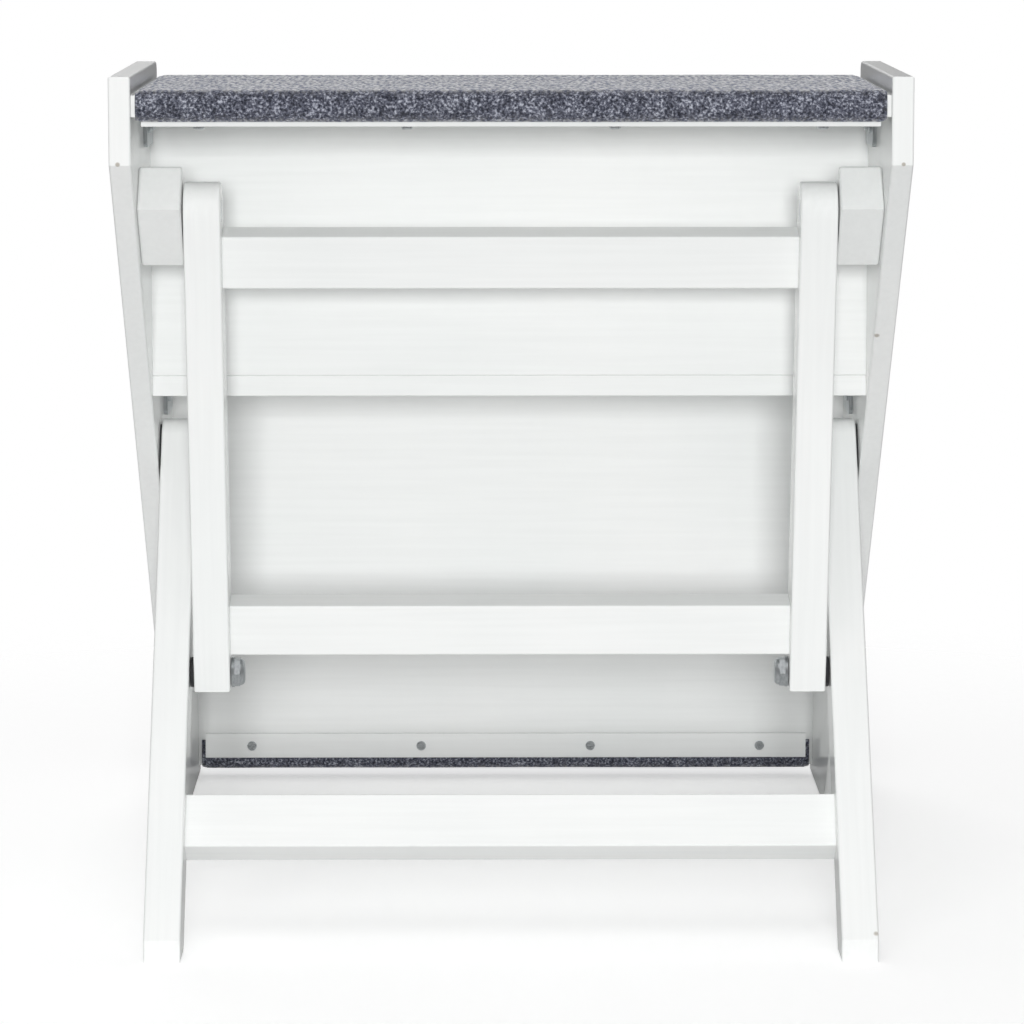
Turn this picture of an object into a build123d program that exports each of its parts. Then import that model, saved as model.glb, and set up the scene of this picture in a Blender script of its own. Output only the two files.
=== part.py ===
from build123d import *
import math
import os

os.makedirs("parts", exist_ok=True)

# Pet stairs: two stepped side panels carry three treads and three risers under one felt runner.
# A leg frame and a cross-braced support frame hold the tall end up and fold under the treads.
# +Z is up and the climbing side faces -Y. The origin is on the floor, under the middle.
# A side place is (forward, up): forward runs from the rear plane towards the climbing side.

# Overall sizes
overall_width = 400.0
overall_depth = 540.0
overall_height = 452.0
step_count = 3
step_rise_share = 0.342
top_flat_share = 0.37037
cut_overrun = 5.0

# Side panels
panel_thickness = 11.0
rear_edge_length = 44.0
heel_share = 0.78333
panel_reveal = 7.0
step_corner_radius = 6.0
panel_edge_radius = 1.2

# Boards
board_thickness = 11.0
board_edge_radius = 0.8
top_tread_rear = 6.0
upper_nosing = 36.0
middle_nosing = 51.0
riser_floor_gap = 6.9

# Felt runner
felt_thickness = 2.2
felt_clearance = 0.2
felt_end_gap = 2.0
felt_wrap = 16.0
felt_corner_radius = 0.9

# Clamp battens and their screws
batten_width = 15.0
batten_thickness = 2.5
batten_end_gap = 2.5
batten_edge_radius = 0.5
batten_setback = 5.4
batten_screw_pitch_share = 0.26
screws_per_batten = 4
screw_head_radius = 2.9
screw_head_height = 1.7
screw_shank_radius = 1.5
screw_shank_length = 12.0
screw_dome_radius = 1.0
cross_slot_length = 3.0
cross_slot_width = 0.8
cross_slot_depth = 0.9
screw_clearance = 0.05

# Corner brackets
bracket_length = 44.0
bracket_leg = 20.0
bracket_thickness = 2.0
bracket_corner_radius = 5.0
bracket_riser_gaps = (8.0, 26.0, 92.0)
bracket_screw_pitch = 26.0
bracket_shank_length = 6.0

# Leg frame
leg_thickness = 19.0
leg_width = 30.0
leg_panel_gap = 1.0
leg_pivot_share = 0.37963
leg_pivot_rise = 32.73
leg_angle = 53.2
leg_heel_height = 12.0
leg_edge_radius = 1.2
leg_rail_width = 30.0
leg_rail_thickness = 18.0
leg_rail_drop = 226.5
rail_front_inset = 1.0

# Support frame
support_thickness = 19.0
support_width = 30.0
support_leg_gap = 2.5
support_pivot_share = 0.116667
support_pivot_rise = 33.766
brace_pivot_drop = 138.0
brace_cut_drop = 8.5
support_rail_width = 28.0
support_rail_thickness = 18.0
upper_rail_drop = 26.8
lower_rail_rise = 25.0

# Pivot blocks
block_length = 44.0
block_width = 30.0
block_drop = 2.0
block_end_radius = 3.0
block_edge_radius = 1.5
block_support_gap = 0.5

# Pivot hardware
pin_radius = 3.0
pin_clearance = 0.05
pin_panel_depth = 8.0
pin_head_radius = 6.0
pin_head_height = 2.2
pin_head_gap = 0.1
pin_head_dome = 1.2
washer_radius = 12.0
washer_gap = 0.05
brace_washer_radius = 8.0
sleeve_radius = 4.0
cap_flange_radius = 8.0
cap_flange_height = 1.5
cap_hex_across = 14.0
cap_hex_height = 3.0
cap_dome_height = 2.5
brace_head_radius = 7.0
brace_head_height = 3.0
brace_gap = 0.3

# Dowels
dowel_radius = 4.0
dowel_side_depth = 10.0
dowel_rail_depth = 18.0
dowel_clearance = 0.05
dowel_end_gap = 0.3

# Values worked out from the sizes above
half_width = overall_width / 2
inner_half = half_width - panel_thickness
step_rise = overall_height * step_rise_share
top_flat = overall_depth * top_flat_share
step_run = (overall_depth - top_flat) / (step_count - 1)
felt_reach = felt_thickness + felt_clearance
felt_half = inner_half - felt_end_gap
batten_half = felt_half - batten_end_gap
batten_screw_pitch = overall_width * batten_screw_pitch_share
tread_tops = [overall_height - panel_reveal - felt_reach - n * step_rise for n in range(step_count)]
tread_fronts = [top_flat + n * step_run - panel_reveal - felt_reach for n in range(step_count)]
tread_rears = [
    top_tread_rear,
    tread_fronts[0] - upper_nosing - board_thickness,
    tread_fronts[1] - middle_nosing - board_thickness,
]
tread_bottoms = [top - board_thickness for top in tread_tops]
rear_edge_start_height = overall_height - rear_edge_length
heel_forward = overall_depth * heel_share
rear_slope = math.degrees(math.atan2(rear_edge_start_height, heel_forward))
leg_outer = inner_half - leg_panel_gap
leg_inner = leg_outer - leg_thickness
support_outer = leg_inner - support_leg_gap
support_inner = support_outer - support_thickness
block_inner = support_outer + block_support_gap
sunk_head_face = support_inner + pin_head_height + 2 * pin_head_gap


def above_slope(depth_share, rise):
    """Side place at a share of the depth, a rise straight above the panels' sloping rear edge."""
    forward = overall_depth * depth_share
    return (forward, rear_edge_start_height * (1 - forward / heel_forward) + rise)


leg_pivot = above_slope(leg_pivot_share, leg_pivot_rise)
support_pivot = above_slope(support_pivot_share, support_pivot_rise)


def side_plane(x):
    """Plane of a side view at width place x, whose sketches read (forward, up) and grow towards -X."""
    return Plane(origin=(x, overall_depth / 2, 0), x_dir=(0, -1, 0), z_dir=(-1, 0, 0))


def along(pivot, angle, distance, across=0.0):
    """Side place at a distance along a direction from a pivot, and across it towards the rear."""
    c = math.cos(math.radians(angle))
    s = math.sin(math.radians(angle))
    return (pivot[0] + distance * c - across * s, pivot[1] + distance * s + across * c)


brace_pivot = along(leg_pivot, leg_angle, -brace_pivot_drop)
support_length = math.dist(support_pivot, brace_pivot)
support_angle = math.degrees(
    math.atan2(brace_pivot[1] - support_pivot[1], brace_pivot[0] - support_pivot[0])
)


def bore(place, x_low, x_high, radius):
    """Cut a round hole along X into the part that is being built."""
    with BuildSketch(side_plane(x_high)) as hole:
        with Locations(place):
            Circle(radius)
    extrude(hole.sketch, amount=x_high - x_low, mode=Mode.SUBTRACT)


def disc(place, x_low, x_high, radius):
    """Add a round bar along X to the part that is being built."""
    with BuildSketch(side_plane(x_high)) as end:
        with Locations(place):
            Circle(radius)
    extrude(end.sketch, amount=x_high - x_low)


def soften(builder, radius):
    """Round every edge of a board's outline, but not the edges across its thickness."""
    fillet(builder.edges().filter_by(Axis.X, reverse=True), radius)


# Places that several pieces share
riser_rears = [tread_rears[1], tread_rears[2], tread_fronts[2] - board_thickness]
riser_lows = [tread_tops[1], tread_tops[2], riser_floor_gap]
screw_rows = [(n - (screws_per_batten - 1) / 2) * batten_screw_pitch for n in range(screws_per_batten)]
batten_middle = batten_setback + batten_width / 2
top_batten_top = tread_bottoms[0] - felt_reach
low_batten_front = riser_rears[2] - felt_reach
top_screw_planes = [
    Plane(
        origin=(x, overall_depth / 2 - top_tread_rear - batten_middle, top_batten_top - batten_thickness),
        z_dir=(0, 0, -1),
    )
    for x in screw_rows
]
low_screw_planes = [
    Plane(
        origin=(x, overall_depth / 2 - low_batten_front + batten_thickness, riser_floor_gap + batten_middle),
        z_dir=(0, 1, 0),
    )
    for x in screw_rows
]
bracket_middles = [rear - gap - bracket_length / 2 for rear, gap in zip(riser_rears, bracket_riser_gaps)]
bracket_screw_places = [
    (middle + side * bracket_screw_pitch / 2, bottom)
    for middle, bottom in zip(bracket_middles, tread_bottoms)
    for side in (-1, 1)
]


def screw(shank_length):
    """One pan-head screw on the XY plane: a domed head with a cross recess above, the shank below."""
    with BuildPart(mode=Mode.PRIVATE) as one_screw:
        with BuildSketch():
            Circle(screw_head_radius)
        extrude(amount=screw_head_height)
        fillet(one_screw.faces().sort_by(Axis.Z)[-1].edges(), screw_dome_radius)
        with BuildSketch(Plane.XY.offset(screw_head_height)):
            Rectangle(cross_slot_length, cross_slot_width)
            Rectangle(cross_slot_width, cross_slot_length)
        extrude(amount=-cross_slot_depth, mode=Mode.SUBTRACT)
        with BuildSketch():
            Circle(screw_shank_radius)
        extrude(amount=-shank_length)
    return one_screw.part


def pilot(plane, depth):
    """Cut a screw's hole into the part that is being built, from a plane backwards."""
    with BuildSketch(plane) as hole:
        Circle(screw_shank_radius + screw_clearance)
    extrude(hole.sketch, amount=-depth, mode=Mode.SUBTRACT)


def bracket_side_plane(place):
    """Plane of a bracket's screw in the side panel, facing the middle of the stairs."""
    x = inner_half - bracket_thickness
    return Plane(origin=(x, overall_depth / 2 - place[0], place[1] - bracket_leg / 2), z_dir=(-1, 0, 0))


def bracket_top_plane(place, side=1):
    """Plane of a bracket's screw in the tread, facing down, on the right or (side -1) the left."""
    x = side * (inner_half - bracket_leg / 2 - bracket_thickness)
    z = place[1] - bracket_thickness
    return Plane(origin=(x, overall_depth / 2 - place[0], z), z_dir=(0, 0, -1))


bracket_planes = [bracket_side_plane(place) for place in bracket_screw_places]
bracket_planes += [bracket_top_plane(place) for place in bracket_screw_places]
bracket_pilot_depth = bracket_shank_length + screw_clearance
batten_pilot_depth = screw_shank_length + screw_clearance

# Right side panel: stepped front edge, upright rear edge at the top, then a slope down to the heel
with BuildPart() as side_panel_right:
    with BuildSketch(side_plane(half_width)):
        with BuildLine():
            Polyline(
                (0, overall_height),
                (top_flat, overall_height),
                (top_flat, overall_height - step_rise),
                (top_flat + step_run, overall_height - step_rise),
                (top_flat + step_run, overall_height - 2 * step_rise),
                (overall_depth, overall_height - 2 * step_rise),
                (overall_depth, 0),
                (heel_forward, 0),
                (0, rear_edge_start_height),
                close=True,
            )
        make_face()
    extrude(amount=panel_thickness)
    nosings = side_panel_right.edges().filter_by(Axis.X).filter_by(
        lambda e: any(
            abs(e.center().Z - overall_height + n * step_rise) < cut_overrun
            and abs(overall_depth / 2 - e.center().Y - top_flat - n * step_run) < cut_overrun
            for n in range(3)
        )
    )
    fillet(nosings, step_corner_radius)
    soften(side_panel_right, panel_edge_radius)
    bore(leg_pivot, inner_half - cut_overrun, inner_half + pin_panel_depth, pin_radius + pin_clearance)
    bore(support_pivot, inner_half - cut_overrun, inner_half + pin_panel_depth, pin_radius + pin_clearance)
    for place in bracket_screw_places:
        pilot(bracket_side_plane(place), bracket_pilot_depth)
side_panel_right.part.label = "side_panel_right"
export_step(side_panel_right.part, "parts/side_panel_right.step")

with BuildPart() as side_panel_left:
    mirror(side_panel_right.part, about=Plane.YZ)
side_panel_left.part.label = "side_panel_left"
export_step(side_panel_left.part, "parts/side_panel_left.step")

# Treads, from the top down: flat boards between the side panels
for n, name in enumerate(["tread_top", "tread_middle", "tread_bottom"]):
    with BuildPart() as tread:
        with BuildSketch(side_plane(inner_half)):
            with Locations(((tread_rears[n] + tread_fronts[n]) / 2, tread_tops[n] - board_thickness / 2)):
                Rectangle(tread_fronts[n] - tread_rears[n], board_thickness)
        extrude(amount=2 * inner_half)
        fillet(tread.edges().filter_by(Axis.X), board_edge_radius)
        for place in bracket_screw_places[2 * n : 2 * n + 2]:
            for side in (-1, 1):
                pilot(bracket_top_plane(place, side), bracket_pilot_depth)
        if n == 0:
            for plane in top_screw_planes:
                pilot(plane, batten_pilot_depth)
    tread.part.label = name
    export_step(tread.part, f"parts/{name}.step")

# Risers: the upper two stand on a tread's rear edge, the lower one under the front of the last tread
for n, name in enumerate(["riser_upper", "riser_middle", "riser_lower"]):
    with BuildPart() as riser:
        with BuildSketch(side_plane(inner_half)):
            middle_height = (riser_lows[n] + tread_bottoms[n]) / 2
            with Locations((riser_rears[n] + board_thickness / 2, middle_height)):
                Rectangle(board_thickness, tread_bottoms[n] - riser_lows[n])
        extrude(amount=2 * inner_half)
        fillet(riser.edges().filter_by(Axis.X), board_edge_radius)
        if n == 2:
            for plane in low_screw_planes:
                pilot(plane, batten_pilot_depth)
    riser.part.label = name
    export_step(riser.part, f"parts/{name}.step")


def runner_line(reach):
    """Side outline of the boards that the felt follows, from the top batten to the low one."""
    line = [
        (top_tread_rear + felt_wrap, tread_bottoms[0] - reach),
        (top_tread_rear - reach, tread_bottoms[0] - reach),
        (top_tread_rear - reach, tread_tops[0] + reach),
    ]
    for n in range(2):
        riser_front = riser_rears[n] + board_thickness
        line += [
            (tread_fronts[n] + reach, tread_tops[n] + reach),
            (tread_fronts[n] + reach, tread_bottoms[n] - reach),
            (riser_front + reach, tread_bottoms[n] - reach),
            (riser_front + reach, tread_tops[n + 1] + reach),
        ]
    line += [
        (tread_fronts[2] + reach, tread_tops[2] + reach),
        (tread_fronts[2] + reach, riser_floor_gap - reach),
        (riser_rears[2] - reach, riser_floor_gap - reach),
        (riser_rears[2] - reach, riser_floor_gap + felt_wrap),
    ]
    return line


# Felt runner: one strip over all the steps, turned round the first and the last edge
with BuildPart() as felt_runner:
    with BuildSketch(side_plane(felt_half)) as runner_profile:
        with BuildLine():
            Polyline(*runner_line(felt_reach), *reversed(runner_line(felt_clearance)), close=True)
        make_face()
        fillet(runner_profile.vertices(), felt_corner_radius)
    extrude(amount=2 * felt_half)
    for plane in top_screw_planes + low_screw_planes:
        pilot(plane, batten_pilot_depth)
felt_runner.part.label = "felt_runner"
export_step(felt_runner.part, "parts/felt_runner.step")

# Clamp battens: thin strips that hold the felt's two ends under their screws
with BuildPart() as clamp_batten_top:
    with BuildSketch(side_plane(batten_half)):
        with Locations((top_tread_rear + batten_middle, top_batten_top - batten_thickness / 2)):
            Rectangle(batten_width, batten_thickness)
    extrude(amount=2 * batten_half)
    fillet(clamp_batten_top.edges().filter_by(Axis.X), batten_edge_radius)
    for plane in top_screw_planes:
        pilot(plane, batten_pilot_depth)
clamp_batten_top.part.label = "clamp_batten_top"
export_step(clamp_batten_top.part, "parts/clamp_batten_top.step")

with BuildPart() as clamp_batten_low:
    with BuildSketch(side_plane(batten_half)):
        with Locations((low_batten_front - batten_thickness / 2, riser_floor_gap + batten_middle)):
            Rectangle(batten_thickness, batten_width)
    extrude(amount=2 * batten_half)
    fillet(clamp_batten_low.edges().filter_by(Axis.X), batten_edge_radius)
    for plane in low_screw_planes:
        pilot(plane, batten_pilot_depth)
clamp_batten_low.part.label = "clamp_batten_low"
export_step(clamp_batten_low.part, "parts/clamp_batten_low.step")

with BuildPart() as batten_screws:
    with Locations(*top_screw_planes, *low_screw_planes):
        add(screw(screw_shank_length))
batten_screws.part.label = "batten_screws"
export_step(batten_screws.part, "parts/batten_screws.step")

# Steel corner brackets under each tread's ends, with a rounded leg on the side panel
with BuildPart() as brackets_right:
    for middle, bottom in zip(bracket_middles, tread_bottoms):
        with BuildSketch(side_plane(inner_half)) as leg_shape:
            with Locations((middle, bottom - bracket_leg / 2)):
                Rectangle(bracket_length, bracket_leg)
            fillet(leg_shape.vertices().group_by(Axis.Z)[0], bracket_corner_radius)
        extrude(amount=bracket_thickness)
        with BuildSketch(side_plane(inner_half)):
            with Locations((middle, bottom - bracket_thickness / 2)):
                Rectangle(bracket_length, bracket_thickness)
        extrude(amount=bracket_leg)
    for plane in bracket_planes:
        pilot(plane.offset(cut_overrun), bracket_pilot_depth + cut_overrun)
with BuildPart() as corner_brackets:
    add(brackets_right.part)
    mirror(brackets_right.part, about=Plane.YZ)
corner_brackets.part.label = "corner_brackets"
export_step(corner_brackets.part, "parts/corner_brackets.step")

with BuildPart() as screws_right:
    with Locations(*bracket_planes):
        add(screw(bracket_shank_length))
with BuildPart() as bracket_screws:
    add(screws_right.part)
    mirror(screws_right.part, about=Plane.YZ)
bracket_screws.part.label = "bracket_screws"
export_step(bracket_screws.part, "parts/bracket_screws.step")

# Pivot blocks: packers on the side panels, in line with the rear slope, with a rounded upper end
with BuildPart() as pivot_block_right:
    with BuildSketch(side_plane(inner_half)) as block_shape:
        with Locations(Location((support_pivot[0], support_pivot[1] - block_drop, 0), (0, 0, -rear_slope))):
            Rectangle(block_length, block_width)
        fillet(block_shape.vertices().sort_by(Axis.Z)[-1:], block_end_radius)
    extrude(amount=inner_half - block_inner)
    soften(pivot_block_right, block_edge_radius)
    bore(support_pivot, block_inner - cut_overrun, inner_half + cut_overrun, pin_radius + pin_clearance)
pivot_block_right.part.label = "pivot_block_right"
export_step(pivot_block_right.part, "parts/pivot_block_right.step")

with BuildPart() as pivot_block_left:
    mirror(pivot_block_right.part, about=Plane.YZ)
pivot_block_left.part.label = "pivot_block_left"
export_step(pivot_block_left.part, "parts/pivot_block_left.step")

# Rails' places in the two swinging frames, as the distance from a pivot and across towards the rear
rail_across = -(leg_width / 2 - rail_front_inset - leg_rail_thickness / 2)
leg_rail_place = along(leg_pivot, leg_angle, -leg_rail_drop, rail_across)
support_down = support_angle + 180
support_across = -(support_width / 2 - rail_front_inset - support_rail_thickness / 2)
support_rail_places = [
    along(support_pivot, support_down, -drop, support_across)
    for drop in (upper_rail_drop, support_length - lower_rail_rise)
]
leg_dowels_at = [
    along(leg_rail_place, leg_angle, side * leg_rail_width / 4) for side in (-1, 1)
]
support_dowels_at = [
    along(place, support_down, side * support_rail_width / 4)
    for place in support_rail_places
    for side in (-1, 1)
]

# Leg frame: two legs that turn on the side panels, joined by one rail near the floor
heel_point = along(leg_pivot, leg_angle, 0, leg_width / 2)
leg_tangent = math.tan(math.radians(leg_angle))
heel_forward_place = heel_point[0] - (heel_point[1] - leg_heel_height) / leg_tangent
toe_point = along(leg_pivot, leg_angle, 0, -leg_width / 2)
toe_forward_place = toe_point[0] - toe_point[1] / leg_tangent
with BuildPart() as leg_right:
    with BuildSketch(side_plane(leg_outer)):
        with BuildLine():
            Polyline(
                (heel_forward_place, 0),
                (heel_forward_place, leg_heel_height),
                heel_point,
                toe_point,
                (toe_forward_place, 0),
                close=True,
            )
        make_face()
        with Locations(leg_pivot):
            Circle(leg_width / 2)
    extrude(amount=leg_thickness)
    soften(leg_right, leg_edge_radius)
    bore(leg_pivot, leg_inner - cut_overrun, leg_outer + cut_overrun, pin_radius + pin_clearance)
    bore(brace_pivot, leg_inner - cut_overrun, leg_outer + cut_overrun, pin_radius + pin_clearance)
    bore(brace_pivot, leg_outer - brace_head_height, leg_outer + cut_overrun,
         brace_head_radius + pin_clearance)
    for place in leg_dowels_at:
        bore(place, leg_inner - cut_overrun, leg_inner + dowel_side_depth + dowel_end_gap,
             dowel_radius + dowel_clearance)
leg_right.part.label = "leg_right"
export_step(leg_right.part, "parts/leg_right.step")

with BuildPart() as leg_left:
    mirror(leg_right.part, about=Plane.YZ)
leg_left.part.label = "leg_left"
export_step(leg_left.part, "parts/leg_left.step")


def rail(half_length, place, angle, width, thickness, edge_radius, dowels_at):
    """A rail across a frame, with its wide side along the frame and dowel holes in both ends."""
    with BuildPart(mode=Mode.PRIVATE) as one_rail:
        with BuildSketch(side_plane(half_length)):
            with Locations(Location((place[0], place[1], 0), (0, 0, angle))):
                Rectangle(width, thickness)
        extrude(amount=2 * half_length)
        fillet(one_rail.edges().filter_by(Axis.X), edge_radius)
        for dowel in dowels_at:
            bore(dowel, half_length - dowel_rail_depth - dowel_end_gap, half_length + cut_overrun,
                 dowel_radius + dowel_clearance)
            bore(dowel, -half_length - cut_overrun, -half_length + dowel_rail_depth + dowel_end_gap,
                 dowel_radius + dowel_clearance)
    return one_rail.part


with BuildPart() as leg_rail:
    add(rail(leg_inner, leg_rail_place, leg_angle, leg_rail_width, leg_rail_thickness,
             leg_edge_radius, leg_dowels_at))
leg_rail.part.label = "leg_rail"
export_step(leg_rail.part, "parts/leg_rail.step")

# Support frame: two uprights that turn on the pivot blocks, joined by two rails
with BuildPart() as support_upright_right:
    with BuildSketch(side_plane(support_outer)):
        upright_length = support_length + support_width / 2
        middle = along(support_pivot, support_angle, upright_length / 2)
        with Locations(Location((middle[0], middle[1], 0), (0, 0, support_angle))):
            Rectangle(upright_length, support_width)
        with Locations(support_pivot):
            Circle(support_width / 2)
        with Locations((brace_pivot[0], brace_pivot[1] - brace_cut_drop - support_width)):
            Rectangle(2 * upright_length, 2 * support_width, mode=Mode.SUBTRACT)
    extrude(amount=support_thickness)
    soften(support_upright_right, leg_edge_radius)
    bore(support_pivot, support_inner - cut_overrun, support_outer + cut_overrun,
         pin_radius + pin_clearance)
    bore(support_pivot, support_inner - cut_overrun, sunk_head_face, pin_head_radius + pin_clearance)
    bore(brace_pivot, support_inner - cut_overrun, support_outer + cut_overrun,
         sleeve_radius + pin_clearance)
    for place in support_dowels_at:
        bore(place, support_inner - cut_overrun, support_inner + dowel_side_depth + dowel_end_gap,
             dowel_radius + dowel_clearance)
support_upright_right.part.label = "support_upright_right"
export_step(support_upright_right.part, "parts/support_upright_right.step")

with BuildPart() as support_upright_left:
    mirror(support_upright_right.part, about=Plane.YZ)
support_upright_left.part.label = "support_upright_left"
export_step(support_upright_left.part, "parts/support_upright_left.step")

for n, name in enumerate(["support_rail_upper", "support_rail_lower"]):
    with BuildPart() as support_rail:
        add(rail(support_inner, support_rail_places[n], support_down, support_rail_width,
                 support_rail_thickness, leg_edge_radius, support_dowels_at[2 * n : 2 * n + 2]))
    support_rail.part.label = name
    export_step(support_rail.part, f"parts/{name}.step")

# Dowels: two in each end of each rail
with BuildPart() as dowels_right:
    for place in leg_dowels_at:
        disc(place, leg_inner - dowel_rail_depth, leg_inner + dowel_side_depth, dowel_radius)
with BuildPart() as leg_dowels:
    add(dowels_right.part)
    mirror(dowels_right.part, about=Plane.YZ)
leg_dowels.part.label = "leg_dowels"
export_step(leg_dowels.part, "parts/leg_dowels.step")

with BuildPart() as support_dowels_right:
    for place in support_dowels_at:
        disc(place, support_inner - dowel_rail_depth, support_inner + dowel_side_depth, dowel_radius)
with BuildPart() as support_dowels:
    add(support_dowels_right.part)
    mirror(support_dowels_right.part, about=Plane.YZ)
support_dowels.part.label = "support_dowels"
export_step(support_dowels.part, "parts/support_dowels.step")


def headed_pin(place, head_face):
    """Add a pin along X from its domed head's face into the side panel."""
    head_inner = head_face - pin_head_gap - pin_head_height
    disc(place, head_inner, head_inner + pin_head_height, pin_head_radius)
    disc(place, head_inner + pin_head_height, inner_half + pin_panel_depth - pin_head_gap, pin_radius)


# Pivot pins and their spacing washers, fixed in the side panels
with BuildPart() as leg_pins_right:
    headed_pin(leg_pivot, leg_inner)
    fillet(leg_pins_right.faces().sort_by(Axis.X)[0].edges(), pin_head_dome)
with BuildPart() as leg_pivot_pins:
    add(leg_pins_right.part)
    mirror(leg_pins_right.part, about=Plane.YZ)
leg_pivot_pins.part.label = "leg_pivot_pins"
export_step(leg_pivot_pins.part, "parts/leg_pivot_pins.step")

with BuildPart() as washers_right:
    disc(leg_pivot, leg_outer + washer_gap, inner_half - washer_gap, washer_radius)
    bore(leg_pivot, leg_outer, inner_half, pin_radius + pin_clearance)
with BuildPart() as leg_pivot_washers:
    add(washers_right.part)
    mirror(washers_right.part, about=Plane.YZ)
leg_pivot_washers.part.label = "leg_pivot_washers"
export_step(leg_pivot_washers.part, "parts/leg_pivot_washers.step")

with BuildPart() as support_pins_right:
    headed_pin(support_pivot, sunk_head_face)
    fillet(support_pins_right.faces().sort_by(Axis.X)[0].edges(), pin_head_dome)
with BuildPart() as support_pivot_pins:
    add(support_pins_right.part)
    mirror(support_pins_right.part, about=Plane.YZ)
support_pivot_pins.part.label = "support_pivot_pins"
export_step(support_pivot_pins.part, "parts/support_pivot_pins.step")

# Brace joint low on the legs: a cap nut with its sleeve in each upright, a screw in each leg
with BuildPart() as cap_nuts_right:
    flange_face = support_inner - brace_gap
    hex_face = flange_face - cap_flange_height
    dome_face = hex_face - cap_hex_height
    disc(brace_pivot, hex_face, flange_face, cap_flange_radius)
    with BuildSketch(side_plane(hex_face)):
        with Locations(brace_pivot):
            RegularPolygon(cap_hex_across / 2, 6, major_radius=False)
    extrude(amount=cap_hex_height)
    disc(brace_pivot, dome_face - cap_dome_height, dome_face, cap_hex_across / 2)
    fillet(cap_nuts_right.faces().sort_by(Axis.X)[0].edges(), cap_dome_height - pin_head_gap)
    disc(brace_pivot, flange_face, support_outer, sleeve_radius)
    bore(brace_pivot, flange_face, support_outer + cut_overrun, pin_radius)
with BuildPart() as brace_cap_nuts:
    add(cap_nuts_right.part)
    mirror(cap_nuts_right.part, about=Plane.YZ)
brace_cap_nuts.part.label = "brace_cap_nuts"
export_step(brace_cap_nuts.part, "parts/brace_cap_nuts.step")

with BuildPart() as brace_washers_right:
    disc(brace_pivot, support_outer + washer_gap, leg_inner - brace_gap, brace_washer_radius)
    bore(brace_pivot, support_outer, leg_inner, pin_radius + pin_clearance)
with BuildPart() as brace_washers:
    add(brace_washers_right.part)
    mirror(brace_washers_right.part, about=Plane.YZ)
brace_washers.part.label = "brace_washers"
export_step(brace_washers.part, "parts/brace_washers.step")

with BuildPart() as brace_screws_right:
    head_face = leg_outer - pin_head_gap
    disc(brace_pivot, head_face - brace_head_height + pin_head_gap, head_face, brace_head_radius)
    disc(brace_pivot, leg_inner, head_face - brace_head_height + pin_head_gap, pin_radius)
    fillet(brace_screws_right.faces().sort_by(Axis.X)[-1].edges(), pin_head_gap)
with BuildPart() as brace_screws:
    add(brace_screws_right.part)
    mirror(brace_screws_right.part, about=Plane.YZ)
brace_screws.part.label = "brace_screws"
export_step(brace_screws.part, "parts/brace_screws.step")
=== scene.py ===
import math

import bpy
import numpy as np
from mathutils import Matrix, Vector


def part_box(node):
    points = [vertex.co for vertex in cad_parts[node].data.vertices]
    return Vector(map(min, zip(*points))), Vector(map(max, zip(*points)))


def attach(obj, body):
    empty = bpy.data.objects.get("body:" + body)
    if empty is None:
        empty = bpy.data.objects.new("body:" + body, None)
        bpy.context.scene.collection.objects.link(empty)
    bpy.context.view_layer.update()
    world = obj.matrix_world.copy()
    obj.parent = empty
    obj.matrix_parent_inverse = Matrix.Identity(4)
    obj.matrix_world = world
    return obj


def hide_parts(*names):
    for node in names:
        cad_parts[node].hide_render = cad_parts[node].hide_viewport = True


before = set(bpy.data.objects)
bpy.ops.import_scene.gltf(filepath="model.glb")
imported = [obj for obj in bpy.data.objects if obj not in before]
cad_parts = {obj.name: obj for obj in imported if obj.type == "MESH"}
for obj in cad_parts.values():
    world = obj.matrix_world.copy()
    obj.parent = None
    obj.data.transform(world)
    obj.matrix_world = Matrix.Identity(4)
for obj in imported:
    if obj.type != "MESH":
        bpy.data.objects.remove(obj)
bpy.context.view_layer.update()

# Pet stairs seen from behind. The row frame is in metres: +Z up, the high end at +Y.
scene = bpy.context.scene
scene.view_settings.view_transform = "Standard"


def linear(code):
    """sRGB hex to linear RGBA."""
    parts = [int(code[i : i + 2], 16) / 255 for i in (1, 3, 5)]
    return tuple(c / 12.92 if c <= 0.04045 else ((c + 0.055) / 1.055) ** 2.4 for c in parts) + (1.0,)


# Sockets of the mix node, whose names repeat: its share, its two number inputs with their result, and its
# two colour inputs with theirs
MIX_SHARE = 0
MIX_NUMBERS = (2, 3)
MIX_NUMBER_RESULT = 0
MIX_COLOURS = (6, 7)
MIX_COLOUR_RESULT = 2


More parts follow.
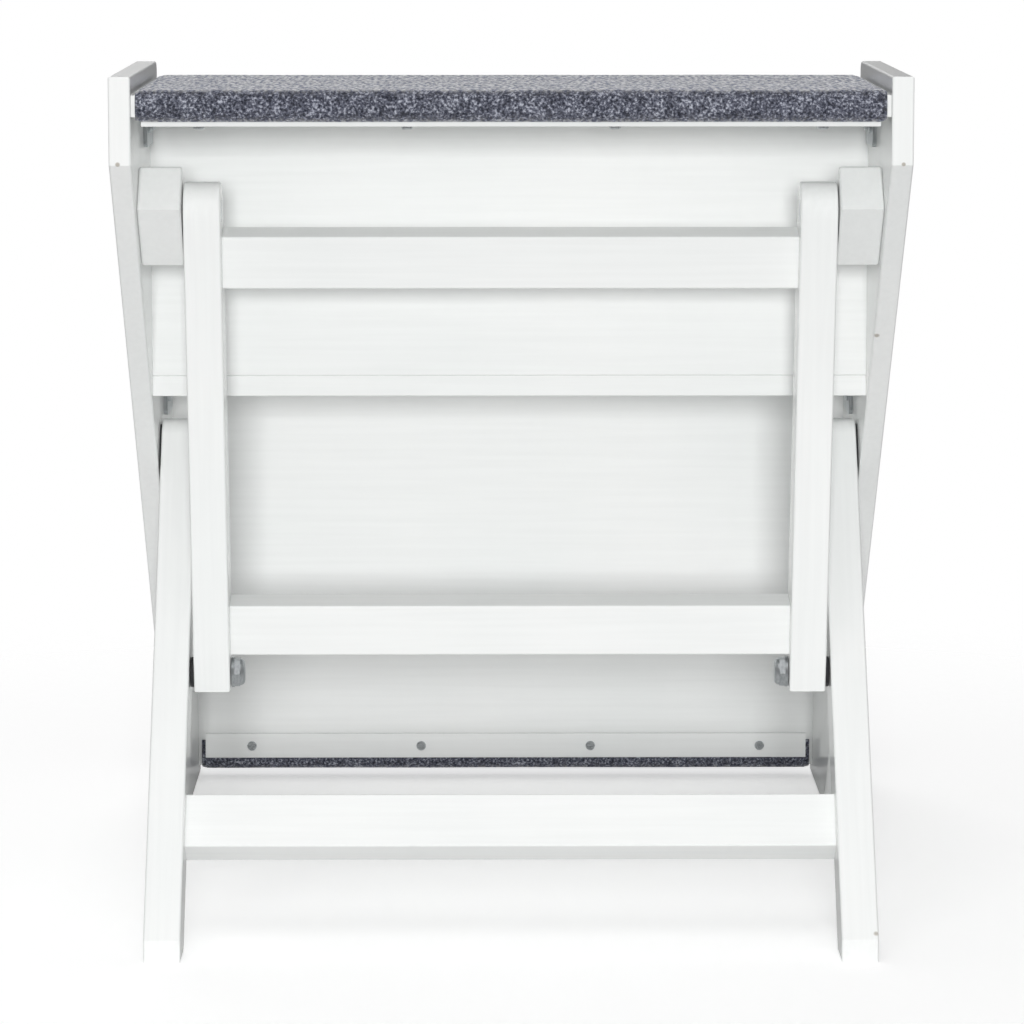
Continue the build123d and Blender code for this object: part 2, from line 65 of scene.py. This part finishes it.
class Nodes:
    """A new material with its principled shader, to which nodes are added one at a time."""

    def __init__(self, name, **fixed):
        self.material = bpy.data.materials.new(name)
        self.material.use_nodes = True
        self.tree = self.material.node_tree
        self.shader = self.tree.nodes["Principled BSDF"]
        for socket, value in fixed.items():
            self.shader.inputs[socket.replace("_", " ")].default_value = value

    def add(self, kind, settings=None, links=None, **inputs):
        """One node: attributes from settings, constant inputs by name, links as {input: output socket}."""
        node = self.tree.nodes.new(kind)
        for key, value in (settings or {}).items():
            setattr(node, key, value)
        for key, value in inputs.items():
            node.inputs[key.replace("_", " ")].default_value = value
        for key, output in (links or {}).items():
            self.tree.links.new(output, node.inputs[key])
        return node

    def ramp(self, factor, *stops):
        """Colour ramp with (place, hex colour) stops."""
        node = self.add("ShaderNodeValToRGB", links={"Fac": factor})
        while len(node.color_ramp.elements) < len(stops):
            node.color_ramp.elements.new(0.5)
        for element, (place, code) in zip(node.color_ramp.elements, stops):
            element.position = place
            element.color = linear(code)
        return node.outputs["Color"]

    def blend(self, first, second, kind="MULTIPLY", share=1.0):
        """Colour of first with second laid over it; share is a number or an output socket."""
        node = self.add("ShaderNodeMix", {"data_type": "RGBA", "blend_type": kind})
        if isinstance(share, float):
            node.inputs[MIX_SHARE].default_value = share
        else:
            self.tree.links.new(share, node.inputs[MIX_SHARE])
        self.tree.links.new(first, node.inputs[MIX_COLOURS[0]])
        if isinstance(second, tuple):
            node.inputs[MIX_COLOURS[1]].default_value = second
        else:
            self.tree.links.new(second, node.inputs[MIX_COLOURS[1]])
        return node.outputs[MIX_COLOUR_RESULT]

    def use(self, socket, output):
        """Feeds an output into the principled shader."""
        self.tree.links.new(output, self.shader.inputs[socket])


# Small knots and marks that show through the lacquer: place in the row frame and radius, in metres
KNOTS = [
    ((0.1955, 0.270, 0.4085), 0.0016),
    ((-0.1950, 0.270, 0.4085), 0.0014),
    ((-0.1907, 0.1724, 0.3133), 0.0020),
    ((-0.1865, 0.2539, 0.0141), 0.0019),
]
KNOT_COLOUR = "#a89f92"
KNOT_CORE_SHARE = 0.4
KNOT_STRENGTH = 0.8


def lacquer(name, turn, knots=False):
    """White lacquer over solid pine. turn is the rotation that brings the grain onto local X.

    The grain telegraphs through as ridges 1 to 2 mm apart, drawn at 2.5 mm so that they show at all, and
    about 80 mm long. A faint change of tone over about 110 mm lies under it.
    """
    m = Nodes(name, Roughness=0.34, Coat_Weight=0.5, Coat_Roughness=0.08, Specular_IOR_Level=0.45)
    place = m.add("ShaderNodeTexCoord").outputs["Object"]
    along = m.add("ShaderNodeMapping", links={"Vector": place}, Rotation=turn)
    long = m.add("ShaderNodeMapping", links={"Vector": along.outputs[0]}, Scale=(12.0, 400.0, 400.0))
    grain = m.add("ShaderNodeTexNoise", links={"Vector": long.outputs[0]}, Scale=1.0, Detail=3.0)
    cloud = m.add("ShaderNodeTexNoise", links={"Vector": place}, Scale=9.0, Detail=2.0)
    tone = m.ramp(cloud.outputs["Fac"], (0.3, "#f5f7f6"), (0.7, "#f9faf9"))
    shade = m.ramp(grain.outputs["Fac"], (0.3, "#fcfcfc"), (0.65, "#ffffff"))
    colour = m.blend(tone, shade)
    if knots:
        for centre, radius in KNOTS:
            far = m.add("ShaderNodeVectorMath", {"operation": "DISTANCE"}, {0: place})
            far.inputs[1].default_value = centre
            edge = m.add("ShaderNodeMapRange", {"interpolation_type": "SMOOTHSTEP"},
                         {"Value": far.outputs["Value"]})
            edge.inputs["From Min"].default_value = radius * KNOT_CORE_SHARE
            edge.inputs["From Max"].default_value = radius
            edge.inputs["To Min"].default_value = KNOT_STRENGTH
            edge.inputs["To Max"].default_value = 0.0
            colour = m.blend(colour, linear(KNOT_COLOUR), "MIX", edge.outputs["Result"])
    m.use("Base Color", colour)
    bump = m.add("ShaderNodeBump", links={"Height": grain.outputs["Fac"]}, Strength=0.025,
                 Distance=0.0001)
    m.use("Normal", bump.outputs["Normal"])
    return m.material


# How far the drawn marks take the metal's roughness below and above its mean
SMOOTHER = 0.08
ROUGHER = 0.1


def metal(name, code, rough, streak):
    """Plated steel with drawn marks about 1 mm wide and 10 mm long, coarser than the real ones.

    streak is the pattern's scale on each axis, per metre; the marks run along the axis with the small one.
    """
    m = Nodes(name, Metallic=1.0)
    place = m.add("ShaderNodeTexCoord").outputs["Object"]
    spread = m.add("ShaderNodeMapping", links={"Vector": place}, Scale=streak)
    marks = m.add("ShaderNodeTexNoise", links={"Vector": spread.outputs[0]}, Scale=1.0, Detail=4.0)
    m.use("Base Color", m.ramp(marks.outputs["Fac"], (0.3, code), (0.75, "#dde0e2")))
    span = m.add("ShaderNodeMapRange", links={"Value": marks.outputs["Fac"]})
    span.inputs["To Min"].default_value = rough - SMOOTHER
    span.inputs["To Max"].default_value = rough + ROUGHER
    m.use("Roughness", span.outputs["Result"])
    return m.material


def beech(name):
    """Unfinished beech dowel: darker flecks about 1 mm wide and 7 mm long on a warm ground."""
    m = Nodes(name, Roughness=0.6)
    place = m.add("ShaderNodeTexCoord").outputs["Object"]
    spread = m.add("ShaderNodeMapping", links={"Vector": place}, Scale=(150.0, 900.0, 900.0))
    fleck = m.add("ShaderNodeTexNoise", links={"Vector": spread.outputs[0]}, Scale=1.0, Detail=3.0)
    m.use("Base Color", m.ramp(fleck.outputs["Fac"], (0.35, "#c9a37a"), (0.6, "#dfc19a")))
    return m.material


def nylon(name):
    """Black nylon washer with a moulded matt skin, pits about 0.4 mm apart."""
    m = Nodes(name, Roughness=0.5)
    place = m.add("ShaderNodeTexCoord").outputs["Object"]
    pits = m.add("ShaderNodeTexNoise", links={"Vector": place}, Scale=2500.0, Detail=2.0)
    m.use("Base Color", m.ramp(pits.outputs["Fac"], (0.3, "#2c2c2e"), (0.7, "#3c3c3f")))
    bump = m.add("ShaderNodeBump", links={"Height": pits.outputs["Fac"]}, Strength=0.2,
                 Distance=0.0001)
    m.use("Normal", bump.outputs["Normal"])
    return m.material


CLUMP_SHARE = 0.22


def heather(name):
    """Blue-grey needled felt: specks of mixed shades, about 1.4 mm, for fibres that are really 0.03 mm.

    The specks are mixed with clumps of about 5 mm, and a change of tone over about 45 mm lies over both. The
    sheen's tint follows the lay of the fibres, in patches 2 mm wide and 9 mm long from front to back.
    """
    m = Nodes(name, Roughness=0.95, Sheen_Weight=0.95, Sheen_Roughness=0.5, Specular_IOR_Level=0.15)
    place = m.add("ShaderNodeTexCoord").outputs["Object"]
    fine = m.add("ShaderNodeTexNoise", links={"Vector": place}, Scale=720.0, Detail=3.0,
                 Roughness=0.65)
    clump = m.add("ShaderNodeTexNoise", links={"Vector": place}, Scale=190.0, Detail=3.0)
    wide = m.add("ShaderNodeTexNoise", links={"Vector": place}, Scale=22.0, Detail=2.0)
    mean = m.add("ShaderNodeMix", links={MIX_NUMBERS[0]: fine.outputs["Fac"],
                                         MIX_NUMBERS[1]: clump.outputs["Fac"]})
    mean.inputs[MIX_SHARE].default_value = CLUMP_SHARE
    base = m.ramp(mean.outputs[MIX_NUMBER_RESULT], (0.38, "#2b2d35"), (0.46, "#4a4c57"), (0.54, "#6d707c"),
                  (0.64, "#c0c3cd"))
    soft = m.ramp(wide.outputs["Fac"], (0.3, "#eeeef2"), (0.7, "#ffffff"))
    m.use("Base Color", m.blend(base, soft))
    lay = m.add("ShaderNodeMapping", links={"Vector": place}, Scale=(2.6, 0.6, 2.6))
    nap = m.add("ShaderNodeTexNoise", links={"Vector": lay.outputs[0]}, Scale=190.0, Detail=2.0)
    m.use("Sheen Tint", m.ramp(nap.outputs["Fac"], (0.4, "#8b8f9e"), (0.6, "#ffffff")))
    bump = m.add("ShaderNodeBump", links={"Height": fine.outputs["Fac"]}, Strength=0.6, Distance=0.0005)
    m.use("Normal", bump.outputs["Normal"])
    return m.material


# Turns that lay the grain along each board: across the stairs, upright, and along the sloping frames
LEG_ANGLE = math.radians(53.2)
SUPPORT_ANGLE = math.radians(76.1)
QUARTER = math.radians(90)
across = lacquer("white_lacquer_across", (0, 0, 0))
upright = lacquer("white_lacquer_panel", (0, QUARTER, 0), knots=True)
on_leg = lacquer("white_lacquer_leg", (LEG_ANGLE, 0, QUARTER), knots=True)
on_support = lacquer("white_lacquer_support", (-SUPPORT_ANGLE, 0, QUARTER))
felt = heather("heather_felt")
zinc = metal("zinc_plated_steel", "#b3b8bb", 0.38, (900.0, 900.0, 90.0))
bright = metal("bright_steel", "#c4c8cb", 0.28, (120.0, 1400.0, 1400.0))
wood = beech("beech_dowel")
washer = nylon("black_nylon")

# Finish of each CAD piece, by the start of its name; the felt runner is replaced further down
FINISH = {
    "side_panel": upright,
    "tread": across,
    "riser": across,
    "clamp": across,
    "leg_rail": across,
    "support_rail": across,
    "pivot_block": upright,
    "leg_left": on_leg,
    "leg_right": on_leg,
    "support_upright": on_support,
    "batten_screws": bright,
    "bracket": zinc,
    "corner": zinc,
    "leg_pivot_pins": zinc,
    "support_pivot_pins": zinc,
    "brace_cap": zinc,
    "brace_screws": zinc,
    "leg_pivot_washers": washer,
    "brace_washers": washer,
    "leg_dowels": wood,
    "support_dowels": wood,
}
for name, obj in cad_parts.items():
    for start, finish in FINISH.items():
        if name.startswith(start):
            obj.data.materials.clear()
            obj.data.materials.append(finish)

# Felt runner: one strip over the steps with softly turned edges, from the top batten to the low one.
# Lengths in metres. WRAP is how far each end reaches in from the board's edge that it is wrapped around;
# the two steps are the spacing of the mesh.
FELT_THICKNESS = 0.0022
FELT_GAP = 0.0002
FELT_HALF = 0.187
WRAP = 0.016
FOLD_RADIUS = 0.0052
STEP_ALONG = 0.0024
STEP_ACROSS = 0.0034
# Points on a fold, the most of a straight run that one fold takes, and the weights that place the fold's
# control point between the corner and the fold's two ends
FOLD_POINTS = 9
RUN_SHARE = 0.45
CORNER_WEIGHT = 0.84
END_WEIGHT = 0.08
# Height of each of the two ripples, and the least thickness at a cut edge as a squared share
RIPPLE = 0.00006
THIN_EDGE = 0.04


def corner_line():
    """Corners of the felt's mid-line as (y, z), read from the boards that it lies on."""
    reach = FELT_GAP + FELT_THICKNESS / 2
    treads = [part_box(n) for n in ("tread_top", "tread_middle", "tread_bottom")]
    risers = [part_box(n) for n in ("riser_upper", "riser_middle", "riser_lower")]
    line = [
        (treads[0][1].y - WRAP, treads[0][0].z - reach),
        (treads[0][1].y + reach, treads[0][0].z - reach),
        (treads[0][1].y + reach, treads[0][1].z + reach),
    ]
    for n in range(2):
        line += [
            (treads[n][0].y - reach, treads[n][1].z + reach),
            (treads[n][0].y - reach, treads[n][0].z - reach),
            (risers[n][0].y - reach, treads[n][0].z - reach),
            (risers[n][0].y - reach, treads[n + 1][1].z + reach),
        ]
    line += [
        (treads[2][0].y - reach, treads[2][1].z + reach),
        (treads[2][0].y - reach, risers[2][0].z - reach),
        (risers[2][1].y + reach, risers[2][0].z - reach),
        (risers[2][1].y + reach, risers[2][0].z + WRAP),
    ]
    return np.array(line)


def rounded(line, radius, step):
    """The line with each corner turned on a soft fold and sampled evenly, its normals and its length.

    The normals point to the left of the line's run, which for the felt is towards the boards.
    A fold of half-angle h starts radius / tan(h) from its corner, or nearer where a run is short. It is the
    curve (1 - t)^2 S + 2 t (1 - t) P + t^2 E from its start S to its end E, with P close to the corner.
    """
    points = [line[0]]
    for a, b, c in zip(line[:-2], line[1:-1], line[2:]):
        u, v = (a - b) / np.linalg.norm(a - b), (c - b) / np.linalg.norm(c - b)
        half = math.acos(np.clip(u @ v, -1, 1)) / 2
        shorter = min(np.linalg.norm(a - b), np.linalg.norm(c - b))
        reach = min(radius / math.tan(half), RUN_SHARE * shorter)
        t = np.linspace(0, 1, FOLD_POINTS)[:, None]
        start, end = b + u * reach, b + v * reach
        pull = b * CORNER_WEIGHT + (start + end) * END_WEIGHT
        points += list((1 - t) ** 2 * start + 2 * t * (1 - t) * pull + t**2 * end)
    points.append(line[-1])
    points = np.array(points)
    gone = np.concatenate([[0], np.cumsum(np.linalg.norm(np.diff(points, axis=0), axis=1))])
    at = np.linspace(0, gone[-1], int(gone[-1] / step))
    even = np.stack([np.interp(at, gone, points[:, k]) for k in (0, 1)], 1)
    tangent = np.gradient(even, axis=0)
    tangent /= np.linalg.norm(tangent, axis=1)[:, None]
    return even, np.stack([-tangent[:, 1], tangent[:, 0]], 1), gone[-1]


def felt_piece():
    """The runner as a closed strip: mid-line by width, with a face towards the boards and an outer one.

    Over the last half thickness before a long cut edge, e runs from 0 to 1 and the thickness is multiplied
    by (1 - e^4)^(1/2), down to a fifth. The mesh's columns are wider apart than that, so the cut edge comes
    out as a bevel one column wide. The ripple sin(61 s + 3 sin(23 x)) + sin(47 x + 19 s), with s along and x
    across in metres, stands at most 0.12 mm off; on the outer face it only adds to the thickness.
    """
    middle, normal, length = rounded(corner_line(), FOLD_RADIUS, STEP_ALONG)
    rows = len(middle)
    columns = int(2 * FELT_HALF / STEP_ACROSS)
    x = np.linspace(-FELT_HALF, FELT_HALF, columns)
    edge = np.clip((np.abs(x) - (FELT_HALF - FELT_THICKNESS / 2)) / (FELT_THICKNESS / 2), 0, 1)
    thick = FELT_THICKNESS / 2 * np.sqrt(np.clip(1 - edge**4, THIN_EDGE, 1))
    s = np.arange(rows)[:, None] * STEP_ALONG
    ripple = RIPPLE * (np.sin(s * 61 + 3 * np.sin(x * 23)) + np.sin(x * 47 + s * 19))
    sides = []
    for sign in (1, -1):  # towards the boards, then outwards
        out = sign * thick[None, :] + (np.minimum(ripple, 0) if sign < 0 else ripple)
        y = middle[:, 0, None] + normal[:, 0, None] * out
        z = middle[:, 1, None] + normal[:, 1, None] * out
        sides.append(np.stack([np.broadcast_to(x, y.shape), y, z], 2).reshape(-1, 3))
    points = np.concatenate(sides)
    inner = np.arange(rows * columns).reshape(rows, columns)
    outer = inner + rows * columns
    faces = []

    def quads(a, b, c, d):
        """One four-cornered face for each set of corners."""
        faces.append(np.stack([a.ravel(), b.ravel(), c.ravel(), d.ravel()], 1))

    quads(inner[:-1, :-1], inner[:-1, 1:], inner[1:, 1:], inner[1:, :-1])
    quads(outer[:-1, :-1], outer[1:, :-1], outer[1:, 1:], outer[:-1, 1:])
    quads(inner[:-1, 0], inner[1:, 0], outer[1:, 0], outer[:-1, 0])
    quads(inner[:-1, -1], outer[:-1, -1], outer[1:, -1], inner[1:, -1])
    quads(inner[0, :-1], outer[0, :-1], outer[0, 1:], inner[0, 1:])
    quads(inner[-1, :-1], inner[-1, 1:], outer[-1, 1:], outer[-1, :-1])
    mesh = bpy.data.meshes.new("felt_strip")
    mesh.from_pydata(points.tolist(), [], np.concatenate(faces).tolist())
    mesh.polygons.foreach_set("use_smooth", np.ones(len(mesh.polygons), bool))
    mesh.update()
    piece = bpy.data.objects.new("felt_strip", mesh)
    scene.collection.objects.link(piece)
    return piece, length


strip, felt_length = felt_piece()
strip.data.materials.append(felt)
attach(strip, "stairs")
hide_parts("felt_runner")

# White paper floor, untextured like the photo's. It fades into the white surround between two distances
# from the middle, and is brightened for the camera alone, which keeps its shadows faint.
FADE_START = 0.42
FADE_END = 0.95
FLOOR_GLOW = 0.42
FLOOR_SIZE = 30
floor_paint = Nodes("floor_paper", Base_Color=linear("#fdfdfd"), Roughness=0.9, Specular_IOR_Level=0.0)
spot = floor_paint.add("ShaderNodeTexCoord").outputs["Object"]
away = floor_paint.add("ShaderNodeVectorMath", {"operation": "LENGTH"}, {0: spot})
fade = floor_paint.add("ShaderNodeMapRange", {"interpolation_type": "SMOOTHSTEP"},
                       {"Value": away.outputs["Value"]})
fade.inputs["From Min"].default_value = FADE_START
fade.inputs["From Max"].default_value = FADE_END
clear = floor_paint.add("ShaderNodeBsdfTransparent")
faded = floor_paint.add("ShaderNodeMixShader", links={0: fade.outputs["Result"],
                                                      1: floor_paint.shader.outputs[0],
                                                      2: clear.outputs[0]})
seen_by = floor_paint.add("ShaderNodeLightPath")
glow = floor_paint.add("ShaderNodeMath", {"operation": "MULTIPLY"},
                       {0: seen_by.outputs["Is Camera Ray"]})
glow.inputs[1].default_value = FLOOR_GLOW
floor_paint.shader.inputs["Emission Color"].default_value = (1, 1, 1, 1)
floor_paint.use("Emission Strength", glow.outputs[0])
floor_paint.tree.links.new(faded.outputs[0], floor_paint.tree.nodes["Material Output"].inputs["Surface"])
bpy.ops.mesh.primitive_plane_add(size=FLOOR_SIZE, location=(0, 0, 0))
floor = bpy.context.object
floor.name = "floor"
floor.data.materials.append(floor_paint.material)

# White surround: dim as a light on the stairs, plain white for the camera
AMBIENT = 0.27
world = bpy.data.worlds.new("studio")
scene.world = world
world.use_nodes = True
sky = world.node_tree
ground = sky.nodes["Background"]
ground.inputs["Color"].default_value = (1, 1, 1, 1)
ground.inputs["Strength"].default_value = AMBIENT
seen = sky.nodes.new("ShaderNodeBackground")
seen.inputs["Strength"].default_value = 1.0
seen.inputs["Color"].default_value = (1, 1, 1, 1)
ray = sky.nodes.new("ShaderNodeLightPath")
pick = sky.nodes.new("ShaderNodeMixShader")
sky.links.new(ray.outputs["Is Camera Ray"], pick.inputs[0])
sky.links.new(ground.outputs[0], pick.inputs[1])
sky.links.new(seen.outputs[0], pick.inputs[2])
sky.links.new(pick.outputs[0], sky.nodes["World Output"].inputs["Surface"])


def lamp(name, place, aim, size, watts, mirrored=True):
    """Soft square area lamp that points at aim; an unmirrored one doesn't show in the lacquer."""
    data = bpy.data.lights.new(name, "AREA")
    data.size = size
    data.energy = watts
    obj = bpy.data.objects.new(name, data)
    obj.location = place
    obj.rotation_euler = (Vector(aim) - Vector(place)).to_track_quat("-Z", "Y").to_euler()
    obj.visible_glossy = mirrored
    scene.collection.objects.link(obj)


lamp("camera_softbox", (0.04, 6.0, 1.02), (0, 0.1, 0.2), 0.9, 216, mirrored=False)
lamp("overhead", (0.3, 1.5, 2.4), (0, 0.1, 0.2), 1.8, 10)
lamp("front_softbox", (0.4, -2.6, 1.7), (0, -0.1, 0.2), 1.8, 20)

# Camera behind the stairs: about 2.36 m from the top rear edge and 0.55 m up, looking 7.7 degrees down
FOCAL_PIXELS = 4744.0
PICTURE_PIXELS = 1024
LOOK_DOWN = math.radians(7.707)
SIDE_SLOPE = -0.00692
eye = bpy.data.cameras.new("camera")
eye.sensor_width = 36.0
eye.lens = FOCAL_PIXELS / PICTURE_PIXELS * eye.sensor_width
viewer = bpy.data.objects.new("camera", eye)
viewer.location = (0.016, 2.628, 0.5535)
sight = Vector((SIDE_SLOPE, -1.0, -math.tan(LOOK_DOWN)))
viewer.rotation_euler = sight.to_track_quat("-Z", "Y").to_euler()
scene.collection.objects.link(viewer)
scene.camera = viewer
